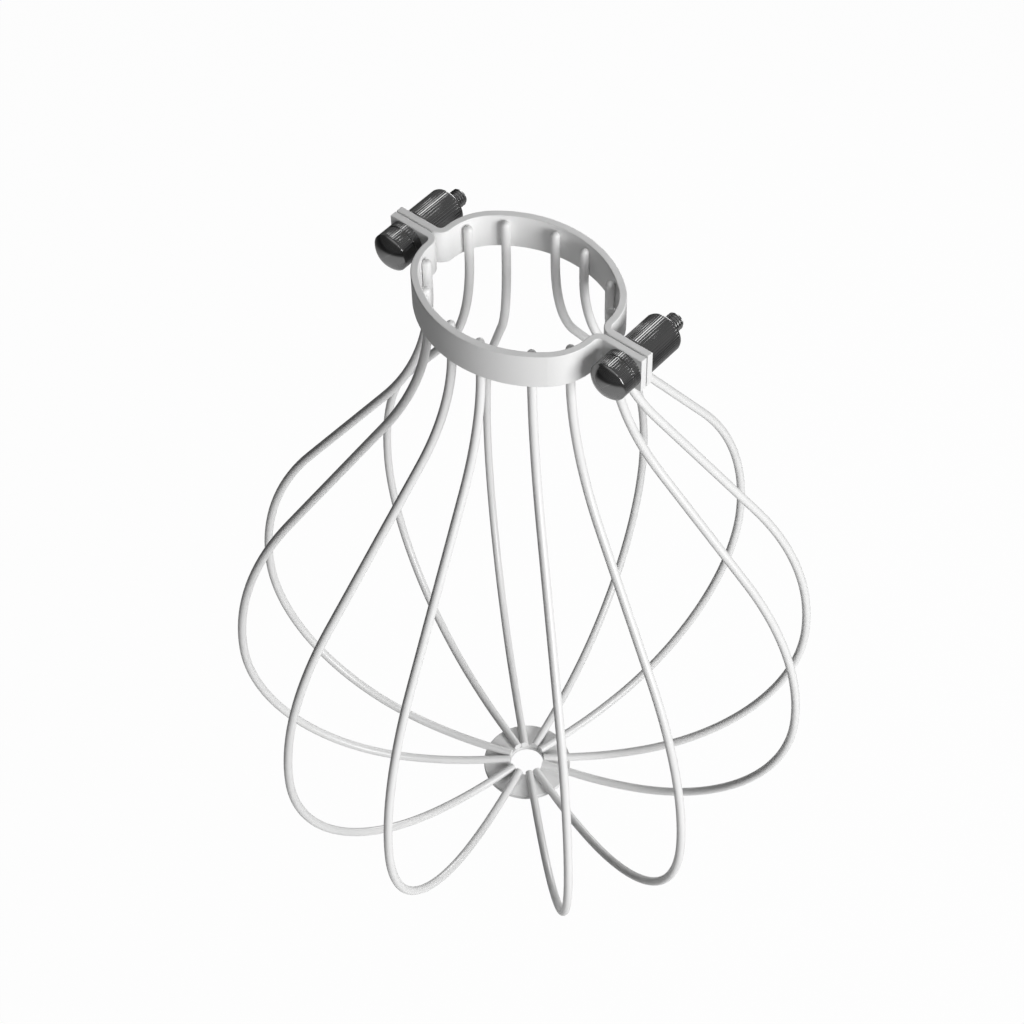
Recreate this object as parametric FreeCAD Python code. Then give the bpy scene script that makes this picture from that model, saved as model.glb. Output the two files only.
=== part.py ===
"""Clamp-on wire cage guard in two halves, in millimetres.

The origin is the middle of the collar, +Z is up, +X points at one pair of ears, and the screw
heads are on the -Y side.
"""
import FreeCAD, Part
import math
import os

from FreeCAD import Vector

# Round neck that the wires grip
holder_diameter = 40.0

# Cage wires: each half collar carries the same angles, mirrored about its middle
wire_diameter = 2.5
wire_angles = (13.2, 48.2, 71.2)
wire_top_inset = 1.0
neck_run = 0.6
flank_angle = 36.0
shoulder_radius = 97.7
bulge_radius = 85.0
bulge_drop = 145.8
arm_slope = 14.2
arm_radius = 90.0
weld_gap = 0.03
tip_gap = 0.12
tip_inset = 0.15

# Half collars: a bowed band that turns out into two ears
band_height = 10.8
band_thickness = 2.0
band_edge_round = 0.25
bow_radius = 32.7
end_radius = 15.1
band_half_width = 26.9
ear_bend_radius = 1.5
ear_length = 12.2
ear_gap = 0.4
screw_edge_distance = 5.4

# Bottom disc under the wire ends
disc_diameter = 27.8
disc_hole_diameter = 10.5
disc_thickness = 1.5
disc_edge_round = 0.3
disc_border = 1.0

# Thumb screws and their sleeve nuts
screw_diameter = 5.0
screw_end_chamfer = 0.5
screw_stub = 4.8
ear_hole_clearance = 0.2
thread_clearance = 0.05
seat_gap = 0.03
head_diameter = 11.0
head_length = 5.9
head_rim = 0.6
head_dome_height = 2.4
head_groove_from_ear = 2.2
head_groove_width = 0.35
head_groove_depth = 0.2
nut_diameter = 11.2
nut_length = 12.2
nut_edge_round = 1.0
knurl_count = 44
knurl_groove_width = 0.4
knurl_depth = 0.1

wire_radius = wire_diameter / 2
half_band = band_thickness / 2


def polar(centre, radius, angle):
    """Point of the plan at an angle in radians, counted from -Y towards +X."""
    return Vector(centre.x + radius * math.sin(angle), centre.y - radius * math.cos(angle), 0)


def arc(centre, radius, start, end):
    """Arc of the plan from one angle to another."""
    middle = (start + end) / 2
    return Part.Arc(*(polar(centre, radius, angle) for angle in (start, middle, end))).toShape()


def line(start, end):
    return Part.LineSegment(start, end).toShape()


def mirrored(shape, normal):
    return shape.mirror(Vector(0, 0, 0), normal)


# Centreline of the front half collar, on the +X side
ear_middle = ear_gap / 2 + half_band
bend_radius = ear_bend_radius + half_band
bend_drop = ear_middle + bend_radius
bend_centre = Vector(band_half_width + bend_radius, -bend_drop, 0)
ear_tip = bend_centre.x + ear_length
screw_x = ear_tip - screw_edge_distance

# The wires nearest the middle of a half collar lie on the gripped diameter, which sets the bow's centre
grip_angle = math.radians(min(wire_angles))
grip_radius = holder_diameter / 2 + wire_radius
seat_offset = half_band + weld_gap + wire_radius
bow_to_wire = bow_radius - seat_offset
bow_offset = math.sqrt(bow_to_wire ** 2 - (grip_radius * math.sin(grip_angle)) ** 2)
bow_offset -= grip_radius * math.cos(grip_angle)
bow_centre = Vector(0, bow_offset, 0)

# The end arc is tangent to the bow and to the bend that leads into the ear
to_bend = bend_centre - bow_centre
inside_bow = bow_radius - end_radius
along = (to_bend.Length ** 2 + inside_bow ** 2 - (end_radius + bend_radius) ** 2) / (2 * to_bend.Length)
across = math.sqrt(inside_bow ** 2 - along ** 2)
to_bend.normalize()
end_centre = bow_centre + to_bend * along + Vector(to_bend.y, -to_bend.x, 0) * across
bow_limit = math.atan2(end_centre.x, bow_offset - end_centre.y)
bend_limit = math.atan2(bend_centre.x - end_centre.x, end_centre.y - bend_centre.y)


def band_side(offset):
    """Edges of one side of the band, from the +X ear tip to the -X ear tip."""
    ear_y = -ear_middle - offset
    bend = bend_radius - offset
    ear = line(Vector(ear_tip, ear_y, 0), Vector(bend_centre.x, ear_y, 0))
    ear_bend = arc(bend_centre, bend, math.pi, math.pi + bend_limit)
    end = arc(end_centre, end_radius + offset, bend_limit, bow_limit)
    bow = arc(bow_centre, bow_radius + offset, bow_limit, -bow_limit)
    right = [ear, ear_bend, end]
    left = [mirrored(edge, Vector(1, 0, 0)) for edge in reversed(right)]
    return right + [bow] + left


def half_collar():
    """Front half of the collar: the bent strip with eased edges and a screw hole in each ear."""
    inner = band_side(-half_band)
    outer = band_side(half_band)
    tips = []
    for side in (1, -1):
        tips.append(line(Vector(side * ear_tip, -ear_middle + half_band, 0),
                         Vector(side * ear_tip, -ear_middle - half_band, 0)))
    outline = Part.Wire(Part.__sortEdges__(inner + outer + tips))
    strip = Part.Face(outline).extrude(Vector(0, 0, band_height))
    strip.translate(Vector(0, 0, -band_height / 2))
    level = band_height / 2 - band_edge_round
    rims = [edge for edge in strip.Edges if abs(edge.CenterOfMass.z) > level]
    strip = strip.makeFillet(band_edge_round, rims)
    hole_radius = screw_diameter / 2 + ear_hole_clearance
    for side in (1, -1):
        start = Vector(side * screw_x, -bend_drop, 0)
        strip = strip.cut(Part.makeCylinder(hole_radius, bend_drop, start, Vector(0, 1, 0)))
    return strip


def wire_seat_radius(angle):
    """Distance from the axis of a wire that lies against the inside of the band."""
    bearing = Vector(math.sin(angle), -math.cos(angle), 0)
    on_bow = bow_centre.dot(bearing)
    on_bow += math.sqrt(on_bow ** 2 + bow_to_wire ** 2 - bow_offset ** 2)
    point = bearing * on_bow
    if math.atan2(point.x, bow_offset - point.y) <= bow_limit:
        return on_bow
    on_end = end_centre.dot(bearing)
    reach = (end_radius - seat_offset) ** 2 - end_centre.Length ** 2
    return on_end + math.sqrt(on_end ** 2 + reach)


# Lower half of a wire's centreline: the belly ends where the wire lies flat on the disc
flat_start = disc_diameter / 2 + disc_border
flank = math.radians(flank_angle)
slope = math.radians(arm_slope)
belly_turn = math.pi / 2 - slope
belly_radius = bulge_radius - flat_start - arm_radius * math.sin(slope)
belly_radius /= 1 - math.cos(belly_turn)
floor_z = -bulge_drop - belly_radius * math.sin(belly_turn) - arm_radius * (1 - math.cos(slope))
wire_end_radius = disc_hole_diameter / 2 + tip_inset


def bent_rod(start, runs):
    """Round rod in the XZ plane with a domed start and a square end.

    It leaves the start downwards. Each run is a length, or a radius and a turn, where a positive
    turn leads away from the Z axis.
    """
    place = start
    heading = 0.0
    pieces = [Part.makeSphere(wire_radius, start, Vector(0, 0, 1), 0, 90, 360)]
    for run in runs:
        ahead = Vector(math.sin(heading), 0, -math.cos(heading))
        if isinstance(run, tuple):
            radius, turn = run
            side = math.copysign(1, turn)
            centre = place + Vector(math.cos(heading), 0, math.sin(heading)) * radius * side
            section = Part.Face(Part.Wire(Part.makeCircle(wire_radius, place, ahead)))
            pieces.append(section.revolve(centre, Vector(0, -side, 0), math.degrees(abs(turn))))
            heading += turn
            away = Vector(math.cos(heading), 0, math.sin(heading))
            place = centre - away * radius * side
        else:
            pieces.append(Part.makeCylinder(wire_radius, run, place, ahead))
            place = place + ahead * run
    return pieces[0].fuse(pieces[1:]).removeSplitter()


def cage_wire(angle, spacings):
    """One wire, from its domed top inside the band to its tip at the disc's hole.

    The angle is in degrees from the middle of the half collar. The spacings are the angles to the
    wire before and the wire after: where they crowd at the hole, the tip is mitred.
    """
    turned = math.radians(angle)
    seat = wire_seat_radius(abs(turned))
    top = Vector(seat, 0, band_height / 2 - wire_top_inset - wire_radius)
    flare_start = -band_height / 2 - neck_run
    shoulder_top = Vector(bulge_radius - shoulder_radius * (1 - math.cos(flank)), 0,
                          -bulge_drop + shoulder_radius * math.sin(flank))
    # The flare is the arc that leads from the vertical at the seat into the straight flank
    corner_z = shoulder_top.z + (shoulder_top.x - seat) / math.tan(flank)
    tangent = flare_start - corner_z
    flare_radius = tangent / math.tan(flank / 2)
    flank_length = (shoulder_top.x - seat) / math.sin(flank) - tangent
    runs = [
        top.z - flare_start,
        (flare_radius, flank),
        flank_length,
        (shoulder_radius, -flank),
        (belly_radius, -belly_turn),
        (arm_radius, -slope),
        flat_start - wire_end_radius,
    ]
    rod = bent_rod(top, runs)
    for side, spacing in zip((-1, 1), spacings):
        corner = Vector(0, side * (wire_diameter - tip_gap) / 2 - wire_radius, floor_z - wire_diameter)
        mitre = Part.makeBox(flat_start, wire_diameter, 2 * wire_diameter, corner)
        mitre.rotate(Vector(0, 0, 0), Vector(0, 0, 1), side * spacing / 2)
        rod = rod.cut(mitre)
    rod.rotate(Vector(0, 0, 0), Vector(0, 0, 1), angle - 90)
    return rod


def bottom_disc():
    """Flat washer that the wire ends lie on."""
    top = floor_z - wire_radius - weld_gap
    base = Vector(0, 0, top - disc_thickness)
    disc = Part.makeCylinder(disc_diameter / 2, disc_thickness, base)
    disc = disc.cut(Part.makeCylinder(disc_hole_diameter / 2, disc_thickness, base))
    rims = [edge for edge in disc.Edges if isinstance(edge.Curve, Part.Circle)]
    return disc.makeFillet(disc_edge_round, rims)


def knurled_bar(diameter, length):
    """Straight-knurled bar along +Y from the origin: flat crests with V grooves between them."""
    radius = diameter / 2
    half_groove = knurl_groove_width / diameter
    section = ((-half_groove, radius), (0, radius - knurl_depth), (half_groove, radius))
    points = []
    for groove in range(knurl_count):
        for offset, reach in section:
            angle = 2 * math.pi * groove / knurl_count + offset
            points.append(Vector(reach * math.cos(angle), 0, reach * math.sin(angle)))
    return Part.Face(Part.makePolygon(points + points[:1])).extrude(Vector(0, length, 0))


def turned(edges):
    """Solid turned about the Y axis from edges that close with it."""
    outline = Part.Face(Part.Wire(Part.__sortEdges__(edges)))
    return outline.revolve(Vector(0, 0, 0), Vector(0, 1, 0), 360)


ear_face = ear_gap / 2 + band_thickness + seat_gap
screw_end = ear_face + nut_length + screw_stub


def thumb_screw():
    """Screw on the Y axis: knurled head with a groove, domed face and a plain shank."""
    radius = head_diameter / 2
    head = knurled_bar(head_diameter, head_length)
    head.translate(Vector(0, -ear_face - head_length, 0))
    groove_start = Vector(0, -ear_face - head_groove_from_ear - head_groove_width, 0)
    groove = Part.makeCylinder(head_diameter, head_groove_width, groove_start, Vector(0, 1, 0))
    root = radius - head_groove_depth
    groove = groove.cut(Part.makeCylinder(root, head_groove_width, groove_start, Vector(0, 1, 0)))
    head = head.cut(groove)
    back = -ear_face - head_length
    rim = back - head_rim
    sphere_radius = (radius ** 2 + head_dome_height ** 2) / (2 * head_dome_height)
    half_turn = math.asin(radius / sphere_radius) / 2
    crown = Vector(0, rim - head_dome_height, 0)
    on_dome = Vector(sphere_radius * math.sin(half_turn), 0, 0)
    on_dome.y = crown.y + sphere_radius * (1 - math.cos(half_turn))
    cap = turned([
        line(Vector(0, back, 0), Vector(radius, back, 0)),
        line(Vector(radius, back, 0), Vector(radius, rim, 0)),
        Part.Arc(Vector(radius, rim, 0), on_dome, crown).toShape(),
        line(crown, Vector(0, back, 0)),
    ])
    shank_start = Vector(0, -ear_face, 0)
    shank = Part.makeCylinder(screw_diameter / 2, screw_end + ear_face, shank_start, Vector(0, 1, 0))
    tip = [edge for edge in shank.Edges if abs(edge.CenterOfMass.y - screw_end) < screw_end_chamfer]
    shank = shank.makeChamfer(screw_end_chamfer, tip)
    return head.fuse([cap, shank])


def sleeve_nut():
    """Long knurled nut on the Y axis with a smooth rounded far end and a clear bore."""
    radius = nut_diameter / 2 - knurl_depth
    far = ear_face + nut_length
    knurl_end = far - nut_edge_round
    flat_radius = radius - nut_edge_round
    on_round = Vector(flat_radius, knurl_end, 0) + Vector(1, 1, 0) * (nut_edge_round / math.sqrt(2))
    end = turned([
        line(Vector(0, knurl_end, 0), Vector(radius, knurl_end, 0)),
        Part.Arc(Vector(radius, knurl_end, 0), on_round, Vector(flat_radius, far, 0)).toShape(),
        line(Vector(flat_radius, far, 0), Vector(0, far, 0)),
        line(Vector(0, far, 0), Vector(0, knurl_end, 0)),
    ])
    bar = knurled_bar(nut_diameter, nut_length - nut_edge_round)
    bar.translate(Vector(0, ear_face, 0))
    bore_radius = screw_diameter / 2 + thread_clearance
    bore = Part.makeCylinder(bore_radius, nut_length, Vector(0, ear_face, 0), Vector(0, 1, 0))
    return bar.fuse(end).cut(bore)


def save(name, shape):
    shape.exportStep(os.path.join("parts", name + ".step"))


def main():
    os.makedirs("parts", exist_ok=True)
    front = half_collar()
    save("front_half_collar", front)
    save("rear_half_collar", mirrored(front, Vector(0, 1, 0)))
    angles = [-angle for angle in reversed(wire_angles)] + list(wire_angles)
    around = [angles[-1] - 180] + angles + [angles[0] + 180]
    for number, angle in enumerate(angles, start=1):
        rod = cage_wire(angle, (angle - around[number - 1], around[number + 1] - angle))
        save(f"front_wire_{number}", rod)
        rod.rotate(Vector(0, 0, 0), Vector(0, 0, 1), 180)
        save(f"rear_wire_{number}", rod)
    save("bottom_disc", bottom_disc())
    for name, shape in (("thumb_screw", thumb_screw()), ("sleeve_nut", sleeve_nut())):
        save(f"right_{name}", shape.translated(Vector(screw_x, 0, 0)))
        save(f"left_{name}", shape.translated(Vector(-screw_x, 0, 0)))


main()
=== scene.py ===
import math

import bmesh
import bpy
from mathutils import Matrix, Vector


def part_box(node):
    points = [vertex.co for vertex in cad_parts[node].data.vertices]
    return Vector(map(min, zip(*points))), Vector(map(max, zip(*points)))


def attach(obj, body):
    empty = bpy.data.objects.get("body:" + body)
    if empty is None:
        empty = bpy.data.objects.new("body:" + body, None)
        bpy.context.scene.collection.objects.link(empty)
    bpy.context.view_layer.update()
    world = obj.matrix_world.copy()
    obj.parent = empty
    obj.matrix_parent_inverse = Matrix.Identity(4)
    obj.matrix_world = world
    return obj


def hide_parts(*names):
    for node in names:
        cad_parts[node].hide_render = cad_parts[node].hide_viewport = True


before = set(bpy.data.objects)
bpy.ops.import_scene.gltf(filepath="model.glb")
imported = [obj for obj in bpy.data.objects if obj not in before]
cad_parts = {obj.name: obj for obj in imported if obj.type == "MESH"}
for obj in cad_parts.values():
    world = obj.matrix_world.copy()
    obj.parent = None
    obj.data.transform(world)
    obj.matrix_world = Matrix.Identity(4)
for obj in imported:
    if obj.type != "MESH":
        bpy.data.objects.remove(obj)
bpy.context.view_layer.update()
scene = bpy.context.scene
MM = 0.001

# Camera of the photograph, in pixels, metres and degrees
image_size = 1024
focal_pixels = 2382.6
camera_reach = 0.43188
camera_height = 0.43245
camera_azimuth = 40.84
camera_pitch = 50.19
camera_yaw = -0.39
camera_roll = -1.37
sensor_width = 36.0
view_near = 0.01
view_far = 100

# Cage wires, in millimetres and degrees: each angle from the middle of a half has its own seat
wire_radius = 1.25
wire_seats = {13.2: 21.25, 48.2: 23.3854, 71.2: 25.185}
wire_top = 3.15
flare_start = -6.0
flank_angle = 36.0
shoulder_radius = 97.7
bulge_radius = 85.0
bulge_drop = 145.8
arm_slope = 14.2
arm_radius = 90.0
flat_start = 14.9
tip_radius = 5.4
tip_gap = 0.12
wire_columns = 32
top_steps = 8
bend_step = 2.0

# Thumb screws and sleeve nuts, in millimetres
head_diameter = 11.0
head_length = 5.9
head_rim = 0.6
head_dome_height = 2.4
head_dome_steps = 14
head_groove_from_ear = 2.2
head_groove_width = 0.35
head_groove_depth = 0.2
nut_diameter = 11.2
nut_edge_round = 1.0
nut_round_steps = 8
bore_radius = 2.55
bore_chamfer = 0.4
knurl_count = 44
knurl_depth = 0.1
knurl_run_in = 0.2
knurl_samples = 12
knurl_sharpness = 4
edge_break = 0.08
thread_radius = 2.5
thread_pitch = 0.8
thread_depth = 0.35
thread_run_out = 0.5
thread_spare_turns = 2
thread_columns = 48
thread_samples = 8

# Every mesh: edges over this angle stay crisp, and points nearer than this, in metres, are one
sharp_angle = 50
merge_distance = 1e-7

# White paint: a noise is its scale per metre, detail and roughness, and the peel's depth is in metres
cloud_noise = (55.0, 3.0, 0.5)
flow_noise = (420.0, 2.0, 0.5)
peel_noise = (1300.0, 1.0, 0.5)
peel_share = 0.6
peel_depth = 0.000008
peel_strength = 0.25
paint_dull = (0.86, 0.86, 0.86, 1.0)
paint_bright = (0.905, 0.905, 0.9, 1.0)
paint_roughness = 0.24
dulled_by_flow = 0.1
dulled_by_clouds = 0.06
paint_index = 1.5

# Black plating: noises as above, the grain's depth in metres, the pointiness from which crests are painted
# lighter, partly as wear and partly as painted highlight lines
smear_noise = (240.0, 4.0, 0.6)
grain_noise = (2600.0, 2.0, 0.5)
grain_depth = 0.00001
grain_strength = 0.2
plating_dark = 0.14
plating_light = 0.18
plating_worn_and_highlit = 0.35
plating_metallic = 0.85
plating_roughness = 0.11
dulled_by_smears = 0.12
plating_index = 1.6
wear_and_highlight_start = 0.62
wear_and_highlight_width = 1 / 6
wear_and_highlight_least = 0.4

# Floor, in metres: it shows white to the camera, and in reflections only round one spot
floor_level = -0.9
floor_reach = 12.0
floor_grey = 0.7
floor_white = 0.975
lit_spot = (0.3, -1.3, floor_level)
lit_reach = 1.0
lit_fade = 1.1

# Surroundings: light on the cage, and what shows in reflections, with more behind and above the front.
# Each fade is where it starts along a direction of length 1, and how far it takes.
ambient = 0.04
mirrored_plain = 0.1
mirrored_back = 0.24
mirrored_front_top = 0.88
back_fade = (-0.1, 0.5)
front_fade = (0.0, 0.3)
top_fade = (0.5, 0.2)

# Soft boxes: azimuth and elevation in degrees, distance and side in metres, watts
soft_boxes = {
    "key": (82, 20.5, 1.3, 0.7, 17),
    "top": (215, 48, 1.2, 0.26, 1.5),
    "front": (44, 46, 1.2, 0.22, 0.5),
    "rear": (200, 3, 1.3, 0.6, 7),
}
lamp_target = Vector((0, 0, -0.1))


class Socket:
    """An output in a node tree. Arithmetic on it adds Math nodes."""

    def __init__(self, bench, socket):
        self.bench = bench
        self.socket = socket

    def math(self, operation, *terms):
        return self.bench.node("Math", {"operation": operation}, dict(enumerate(terms)))

    def __add__(self, other):
        return self.math("ADD", self, other)

    def __sub__(self, other):
        return self.math("SUBTRACT", self, other)

    def __rsub__(self, other):
        return self.math("SUBTRACT", other, self)

    def __mul__(self, other):
        return self.math("MULTIPLY", self, other)

    def __truediv__(self, other):
        return self.math("DIVIDE", self, other)

    __radd__ = __add__
    __rmul__ = __mul__

    def clipped(self):
        return self.math("MINIMUM", self.math("MAXIMUM", self, 0.0), 1.0)

    def rising(self, start, width):
        """0 up to the start, then a straight rise to 1 over the width."""
        return ((self - start) / width).clipped()


class Bench:
    """A node tree under construction."""

    def __init__(self, owner):
        owner.use_nodes = True
        self.owner = owner
        self.tree = owner.node_tree
        self.tree.nodes.clear()

    def node(self, kind, settings=None, inputs=None, output=0):
        """Add a node: its settings first, then the values or links of its sockets."""
        made = self.tree.nodes.new("ShaderNode" + kind)
        for name, value in (settings or {}).items():
            setattr(made, name, value)
        for name, value in (inputs or {}).items():
            if isinstance(value, Socket):
                self.tree.links.new(value.socket, made.inputs[name])
            else:
                made.inputs[name].default_value = value
        return Socket(self, made.outputs[output]) if made.outputs else made

    def mix_colour(self, factor, first, second):
        """Mix two colours. Inputs 0, 6 and 7 are the factor and the colours, output 2 is the result."""
        settings = {"data_type": "RGBA", "blend_type": "MIX"}
        return self.node("Mix", settings, {0: factor, 6: first, 7: second}, output=2)

    def noise(self, place, scale, detail, roughness):
        inputs = {"Vector": place, "Scale": scale, "Detail": detail, "Roughness": roughness}
        return self.node("TexNoise", None, inputs, output="Fac")

    def bump(self, height, depth, strength):
        return self.node("Bump", None, {"Strength": strength, "Distance": depth, "Height": height})

    def seen_ray(self, mirrored):
        """1 for rays from the camera and transmitted rays, the given share for reflected rays, else 0."""
        camera, glossy, through = [self.node("LightPath", output=name)
                                   for name in ("Is Camera Ray", "Is Glossy Ray", "Is Transmission Ray")]
        return (camera + through + glossy * mirrored).clipped()


def grey(level):
    return (level, level, level, 1.0)


def white_paint():
    """Gloss powder coat: fine orange peel, faint cloudiness and a slightly uneven gloss."""
    bench = Bench(bpy.data.materials.new("white_paint"))
    place = bench.node("TexCoord", output="Object")
    clouds = bench.noise(place, *cloud_noise)
    flow = bench.noise(place, *flow_noise)
    peel = bench.noise(place, *peel_noise)
    shader = bench.node("BsdfPrincipled", None, {
        "Base Color": bench.mix_colour(clouds, paint_dull, paint_bright),
        "Roughness": paint_roughness + dulled_by_flow * flow + dulled_by_clouds * clouds,
        "Normal": bench.bump(peel * peel_share + flow, peel_depth, peel_strength),
        "IOR": paint_index,
    })
    bench.node("OutputMaterial", None, {"Surface": shader})
    return bench.owner


def black_gloss():
    """Gloss black plating: crests painted brighter, partly as wear and partly as painted highlight lines;
    faint smears in the gloss.
    """
    bench = Bench(bpy.data.materials.new("black_gloss"))
    place = bench.node("TexCoord", output="Object")
    smears = bench.noise(place, *smear_noise)
    grain = bench.noise(place, *grain_noise)
    edge = bench.node("NewGeometry", output="Pointiness")
    # Crests lighter by pointiness: partly wear, partly painted highlight lines on the knurl and thread crests
    worn_and_highlit = edge.rising(wear_and_highlight_start, wear_and_highlight_width) * (wear_and_highlight_least + (1 - wear_and_highlight_least) * smears)
    plated = bench.mix_colour(smears, grey(plating_dark), grey(plating_light))
    shader = bench.node("BsdfPrincipled", None, {
        "Base Color": bench.mix_colour(worn_and_highlit, plated, grey(plating_worn_and_highlit)),
        "Metallic": plating_metallic,
        "Roughness": plating_roughness + dulled_by_smears * smears,
        "Normal": bench.bump(grain, grain_depth, grain_strength),
        "IOR": plating_index,
    })
    bench.node("OutputMaterial", None, {"Surface": shader})
    return bench.owner


def pale_floor():
    """Pale floor that shows as white and still takes a soft shadow."""
    bench = Bench(bpy.data.materials.new("pale_floor"))
    place = bench.node("NewGeometry", output="Position")
    away = bench.node("VectorMath", {"operation": "DISTANCE"}, {0: place, 1: lit_spot}, output="Value")
    seen = bench.seen_ray(1 - away.rising(lit_reach, lit_fade))
    plain = bench.node("BsdfDiffuse", None, {"Color": grey(floor_grey)})
    bright = bench.node("Emission", None, {"Color": grey(1.0), "Strength": 1.0})
    mixed = bench.node("MixShader", None, {0: seen * floor_white, 1: plain, 2: bright})
    bench.node("OutputMaterial", None, {"Surface": mixed})
    bench.owner.cycles.emission_sampling = "NONE"
    return bench.owner


def new_piece(name, shape, material, body):
    """Piece made of a closed shape, with its finish and the body that it moves with."""
    bmesh.ops.recalc_face_normals(shape, faces=shape.faces)
    mesh = bpy.data.meshes.new(name)
    shape.to_mesh(mesh)
    shape.free()
    mesh.shade_smooth()
    mesh.set_sharp_from_angle(angle=math.radians(sharp_angle))
    mesh.materials.append(material)
    piece = bpy.data.objects.new(name, mesh)
    scene.collection.objects.link(piece)
    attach(piece, body)
    return piece


def close_holes(shape):
    bmesh.ops.holes_fill(shape, edges=[edge for edge in shape.edges if edge.is_boundary], sides=0)


def wire_runs(seat):
    """Runs of a wire from its top to its tip, each a turn and a radius, or no turn and a length."""
    flank, slope = math.radians(flank_angle), math.radians(arm_slope)
    shoulder = bulge_radius - shoulder_radius * (1 - math.cos(flank))
    shoulder_top = shoulder_radius * math.sin(flank) - bulge_drop
    tangent = flare_start - shoulder_top - (shoulder - seat) / math.tan(flank)
    belly_turn = math.pi / 2 - slope
    belly_radius = (bulge_radius - flat_start - arm_radius * math.sin(slope)) / (1 - math.cos(belly_turn))
    return [
        (0, wire_top - flare_start),
        (flank, tangent / math.tan(flank / 2)),
        (0, (shoulder - seat) / math.sin(flank) - tangent),
        (-flank, shoulder_radius),
        (-belly_turn, belly_radius),
        (-slope, arm_radius),
        (0, flat_start - tip_radius),
    ]


def wire_stations(seat):
    """Places down a wire: distance from the cage's axis, height, heading and radius."""
    stations = []
    for step in range(1, top_steps):
        rise = math.pi / 2 * (1 - step / top_steps)
        stations.append((seat, wire_top + wire_radius * math.sin(rise), 0, wire_radius * math.cos(rise)))
    place, height, heading = seat, wire_top, 0.0
    stations.append((place, height, heading, wire_radius))
    for turn, size in wire_runs(seat):
        steps = max(1, round(math.degrees(abs(turn)) / bend_step))
        chord = 2 * size * math.sin(abs(turn) / steps / 2) if turn else size
        for _ in range(steps):
            heading += turn / steps / 2
            place += chord * math.sin(heading)
            height -= chord * math.cos(heading)
            heading += turn / steps / 2
            stations.append((place, height, heading, wire_radius))
    return stations


def bent_wire(angle, spacings):
    """Shape of one wire with a domed top, its tip mitred against the wires on both sides."""
    seat = wire_seats[abs(angle)]
    shape = bmesh.new()
    rings = []
    for place, height, heading, radius in wire_stations(seat):
        ring = []
        for column in range(wire_columns):
            turn = 2 * math.pi * column / wire_columns
            away = radius * math.cos(turn)
            ring.append(shape.verts.new((place + away * math.cos(heading), radius * math.sin(turn),
                                         height + away * math.sin(heading))))
        rings.append(ring)
    pole = shape.verts.new((seat, 0, wire_top + wire_radius))
    for column in range(wire_columns):
        after = (column + 1) % wire_columns
        shape.faces.new((pole, rings[0][column], rings[0][after]))
        for first, second in zip(rings, rings[1:]):
            shape.faces.new((first[column], first[after], second[after], second[column]))
    shape.faces.new(rings[-1])
    for side, spacing in zip((-1, 1), spacings):
        lean = math.radians(spacing) / 2
        normal = Vector((-math.sin(lean), side * math.cos(lean), 0))
        bmesh.ops.bisect_plane(shape, geom=[*shape.verts, *shape.edges, *shape.faces],
                               plane_co=normal * (-tip_gap / 2), plane_no=normal, clear_outer=True)
        close_holes(shape)
    bmesh.ops.transform(shape, verts=shape.verts,
                        matrix=Matrix.Rotation(math.radians(angle - 90), 4, "Z") @ Matrix.Scale(MM, 4))
    return shape


def weave_cage(material):
    """Smooth wires in place of the faceted ones of both halves."""
    angles = [-angle for angle in reversed(wire_seats)] + list(wire_seats)
    around = [angles[-1] - 180, *angles, angles[0] + 180]
    for number, angle in enumerate(angles, start=1):
        spacings = (angle - around[number - 1], around[number + 1] - angle)
        for half, turn in (("front", 0), ("rear", 180)):
            shape = bent_wire(angle, spacings)
            bmesh.ops.rotate(shape, verts=shape.verts, matrix=Matrix.Rotation(math.radians(turn), 3, "Z"))
            wire = new_piece(f"{half}_bent_wire_{number}", shape, material, "cage")
            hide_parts(f"{half}_wire_{number}")


def knurl_drop(column):
    """Share of the knurl's depth at a column: broad rounded crests between narrow grooves."""
    return (2 * (column % knurl_samples) / knurl_samples - 1) ** knurl_sharpness


def lathe(shape, axis_x, stations, ring):
    """Turn stations of (y, radius, knurl) about the screw's axis, in millimetres.

    A radius of 0 is a pole. A ring joins its last station to the first.
    """
    columns = knurl_count * knurl_samples
    rows = []
    for y, radius, knurl in stations:
        row = []
        for column in range(columns if radius else 1):
            turn = 2 * math.pi * column / columns
            reach = radius - knurl * knurl_drop(column)
            place = Vector((axis_x + reach * math.cos(turn), y, reach * math.sin(turn)))
            row.append(shape.verts.new(place * MM))
        rows.append(row)
    pairs = list(zip(rows, rows[1:]))
    if ring:
        pairs.append((rows[-1], rows[0]))
    for first, second in pairs:
        for column in range(columns):
            after = (column + 1) % columns
            corners = [first[column % len(first)], first[after % len(first)],
                       second[after % len(second)], second[column % len(second)]]
            shape.faces.new(dict.fromkeys(corners))


def round_over(centre_y, centre_radius, radius, start, end, steps):
    """Stations along an arc, between two angles in degrees from the radial direction."""
    stations = []
    for step in range(steps + 1):
        angle = math.radians(start + (end - start) * step / steps)
        stations.append((centre_y + radius * math.sin(angle), centre_radius + radius * math.cos(angle), 0))
    return stations


def knurled_run(start, end, radius):
    """Knurled stretch between two places on the axis: the grooves run out and the ends are eased."""
    ease = math.copysign(edge_break, end - start)
    run = math.copysign(knurl_run_in, end - start)
    return [
        (start, radius - edge_break, 0),
        (start + ease, radius, 0),
        (start + run, radius, knurl_depth),
        (end - run, radius, knurl_depth),
        (end - ease, radius, 0),
        (end, radius - edge_break, 0),
    ]


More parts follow.
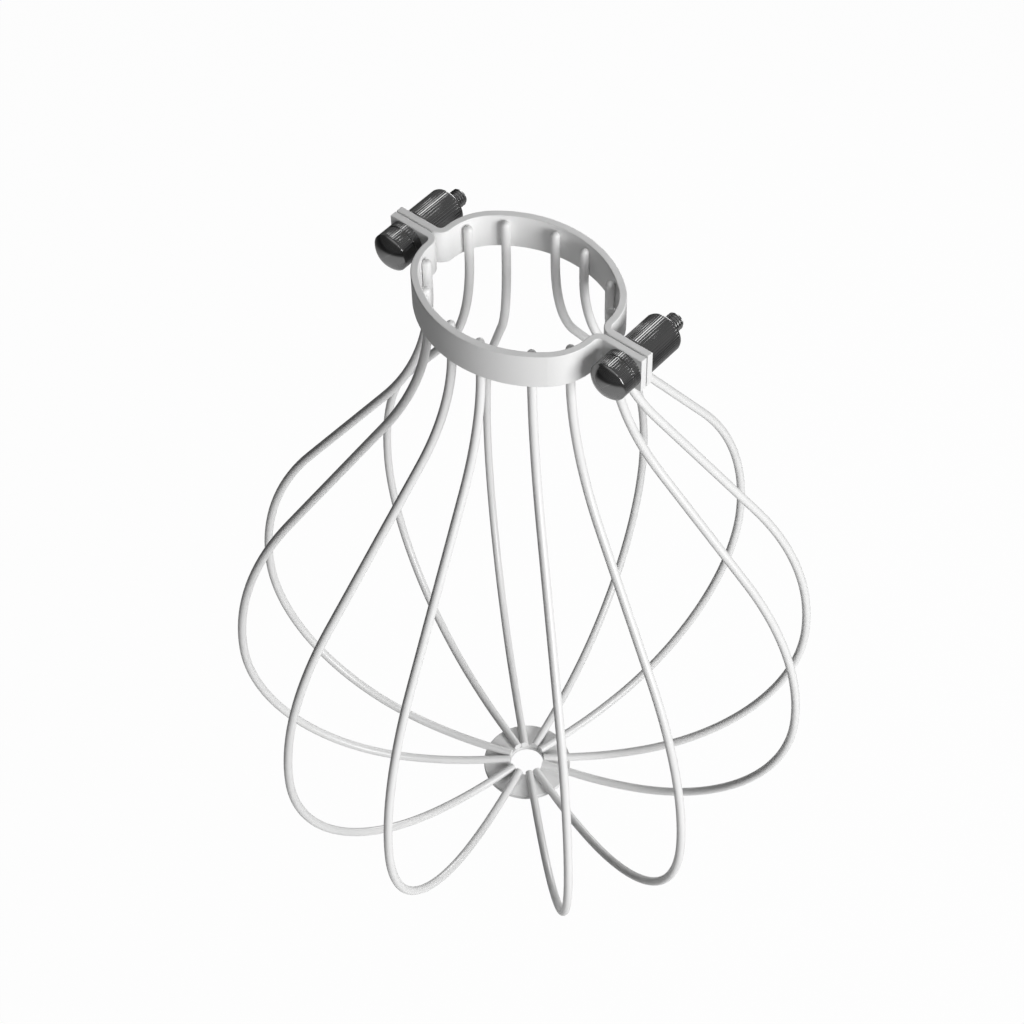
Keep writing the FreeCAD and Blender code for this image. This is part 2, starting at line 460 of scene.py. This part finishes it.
def head_stations(seat):
    """Screw head from its seat on the ear to the tip of its dome."""
    radius = head_diameter / 2
    groove = seat - head_groove_from_ear
    groove_end = groove - head_groove_width
    root = radius - head_groove_depth
    rim = seat - head_length
    dome = rim - head_rim
    ball = (radius ** 2 + head_dome_height ** 2) / (2 * head_dome_height)
    reach = math.degrees(math.asin(radius / ball) - edge_break / ball)
    crown = round_over(dome - head_dome_height + ball, 0, ball, reach - 90, -90, head_dome_steps)
    stations = [(seat, 0, 0)]
    stations += knurled_run(seat, groove, radius)
    stations += [(groove, root, 0), (groove_end, root, 0)]
    stations += knurled_run(groove_end, rim, radius)[:-2]
    stations += [(rim, radius, 0), (dome + edge_break, radius, 0)]
    stations += crown[:-1]
    stations.append((dome - head_dome_height, 0, 0))
    return stations


def nut_stations(seat, far):
    """Sleeve nut from its seat on the ear round its far end and back through the bore."""
    smooth = nut_diameter / 2 - knurl_depth
    turn = far - nut_edge_round
    stations = [(seat + bore_chamfer, bore_radius, 0), (seat, bore_radius + bore_chamfer, 0)]
    stations += knurled_run(seat, turn, nut_diameter / 2)
    stations += round_over(turn, smooth - nut_edge_round, nut_edge_round, 0, 90, nut_round_steps)
    stations += [(far, bore_radius + bore_chamfer, 0), (far - bore_chamfer, bore_radius, 0)]
    return stations


def thread(shape, axis_x, start, end):
    """Closed threaded rod whose rows follow the helix and taper out at both ends."""
    root = thread_radius - thread_depth
    end_radius = root - edge_break
    taper = (thread_radius - end_radius) / thread_run_out
    section = []
    for sample in range(thread_samples):
        phase = sample / thread_samples
        section.append((phase, root + thread_depth * (1 + math.cos(2 * math.pi * phase)) / 2))
    turns = math.ceil((end - start) / thread_pitch) + thread_spare_turns
    columns = []
    for column in range(thread_columns):
        share = column / thread_columns
        turn = 2 * math.pi * share
        line = []
        for row in range(turns * thread_samples):
            phase, reach = section[row % thread_samples]
            y = start + (row // thread_samples + phase + share - 1) * thread_pitch
            y = min(max(y, start), end)
            reach = min(reach, end_radius + taper * min(y - start, end - y))
            place = Vector((axis_x + reach * math.cos(turn), y, reach * math.sin(turn)))
            line.append(shape.verts.new(place * MM))
        columns.append(line)
    for column, line in enumerate(columns):
        wrap = column + 1 == thread_columns
        after = columns[0] if wrap else columns[column + 1]
        lead = thread_samples if wrap else 0
        for row in range(len(line) - 1 - lead):
            shape.faces.new((line[row], line[row + 1], after[row + 1 + lead], after[row + lead]))
    bmesh.ops.remove_doubles(shape, verts=shape.verts, dist=merge_distance)
    bmesh.ops.dissolve_degenerate(shape, dist=merge_distance, edges=shape.edges)
    close_holes(shape)


def fasten(side, material):
    """Thumb screw and sleeve nut of one side, in place of the plain solids."""
    low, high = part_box(f"{side}_sleeve_nut")
    axis_x = (low.x + high.x) / 2 / MM
    seat, far = low.y / MM, high.y / MM
    screw_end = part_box(f"{side}_thumb_screw")[1].y / MM
    shape = bmesh.new()
    thread(shape, axis_x, -seat - edge_break, screw_end)
    lathe(shape, axis_x, head_stations(-seat), ring=False)
    screw = new_piece(f"{side}_screw", shape, material, f"{side}_screw")
    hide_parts(f"{side}_thumb_screw")
    shape = bmesh.new()
    lathe(shape, axis_x, nut_stations(seat, far), ring=True)
    nut = new_piece(f"{side}_nut", shape, material, f"{side}_nut")
    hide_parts(f"{side}_sleeve_nut")


def photo_camera():
    """Camera at the photograph's place and angle."""
    camera = bpy.data.cameras.new("camera")
    camera.sensor_width = sensor_width
    camera.lens = focal_pixels * sensor_width / image_size
    camera.clip_start = view_near
    camera.clip_end = view_far
    stand = bpy.data.objects.new("camera", camera)
    azimuth = math.radians(camera_azimuth)
    stand.location = (camera_reach * math.sin(azimuth), -camera_reach * math.cos(azimuth), camera_height)
    turn = Matrix.Rotation(math.radians(camera_azimuth - camera_yaw), 3, "Z")
    tilt = Matrix.Rotation(math.radians(90 - camera_pitch), 3, "X")
    roll = Matrix.Rotation(math.radians(camera_roll), 3, "Z")
    stand.rotation_euler = (turn @ tilt @ roll).to_euler()
    scene.collection.objects.link(stand)
    scene.camera = stand


def lay_floor():
    """Pale floor well below the hanging cage."""
    mesh = bpy.data.meshes.new("floor")
    corners = [(-1, -1), (1, -1), (1, 1), (-1, 1)]
    mesh.from_pydata([(x * floor_reach, y * floor_reach, floor_level) for x, y in corners], [], [(0, 1, 2, 3)])
    mesh.materials.append(pale_floor())
    floor = bpy.data.objects.new("floor", mesh)
    scene.collection.objects.link(floor)


def surround():
    """White surroundings that light the cage only a little."""
    world = bpy.data.worlds.new("studio")
    scene.world = world
    bench = Bench(world)
    direction = bench.node("TexCoord", output="Generated")
    depth, height = [bench.node("SeparateXYZ", None, {0: direction}, output=axis) for axis in "YZ"]
    back = depth.rising(*back_fade)
    front_top = height.rising(*top_fade) * (0 - depth).rising(*front_fade)
    seen = bench.seen_ray(mirrored_plain + mirrored_back * back + mirrored_front_top * front_top)
    strength = seen.math("MAXIMUM", seen, ambient)
    sky = bench.node("Background", None, {"Color": grey(1.0), "Strength": strength})
    bench.node("OutputWorld", None, {"Surface": sky})


def soft_box(name, azimuth, elevation, distance, side, power):
    """Square soft box that faces the cage."""
    lamp = bpy.data.lights.new(name, "AREA")
    lamp.shape = "SQUARE"
    lamp.size = side
    lamp.energy = power
    box = bpy.data.objects.new(name, lamp)
    across, up = math.radians(azimuth), math.radians(elevation)
    back = Vector((math.sin(across) * math.cos(up), -math.cos(across) * math.cos(up), math.sin(up)))
    box.location = lamp_target + back * distance
    box.rotation_euler = back.to_track_quat("Z", "Y").to_euler()
    scene.collection.objects.link(box)


paint = white_paint()
plating = black_gloss()
for node_name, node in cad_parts.items():
    finish = plating if node_name.endswith(("screw", "nut")) else paint
    for material_slot in node.material_slots:
        material_slot.material = finish
weave_cage(paint)
for hand in ("right", "left"):
    fasten(hand, plating)
photo_camera()
lay_floor()
surround()
for lamp_name, setting in soft_boxes.items():
    soft_box(lamp_name, *setting)
scene.view_settings.view_transform = "Standard"
